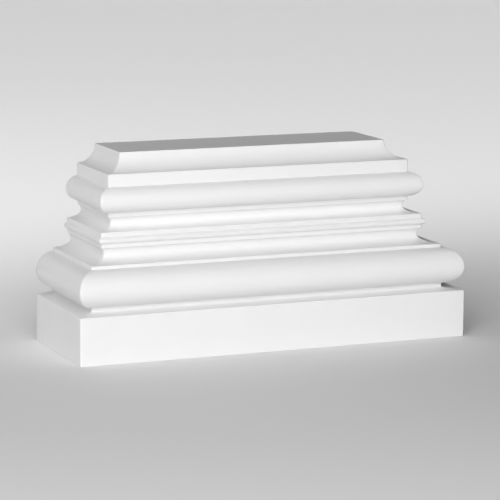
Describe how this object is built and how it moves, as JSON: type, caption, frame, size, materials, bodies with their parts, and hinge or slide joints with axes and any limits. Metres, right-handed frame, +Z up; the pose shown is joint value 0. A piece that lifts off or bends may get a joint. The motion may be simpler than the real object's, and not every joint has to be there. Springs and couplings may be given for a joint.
{
  "type": "pilaster base",
  "caption": "Moulded pilaster base: plinth, large and small torus, scotias parted by a bead, and a cavetto up to a flat shaft seat, with mitred side returns and a flat wall face.",
  "frame": {"origin": "under the middle of the plinth, on the plane that it stands on", "axes": "+Z up; +X along the plinth's width; +Y from the moulded front back to the flat wall face"},
  "size_m": [0.3, 0.1014, 0.1438],
  "materials": {
    "primed_white": "rigid polyurethane moulding with a factory-sprayed white primer, satin matte"
  },
  "bodies": {
    "root": {"pilaster_base": "primed_white"}
  },
  "joints": []
}
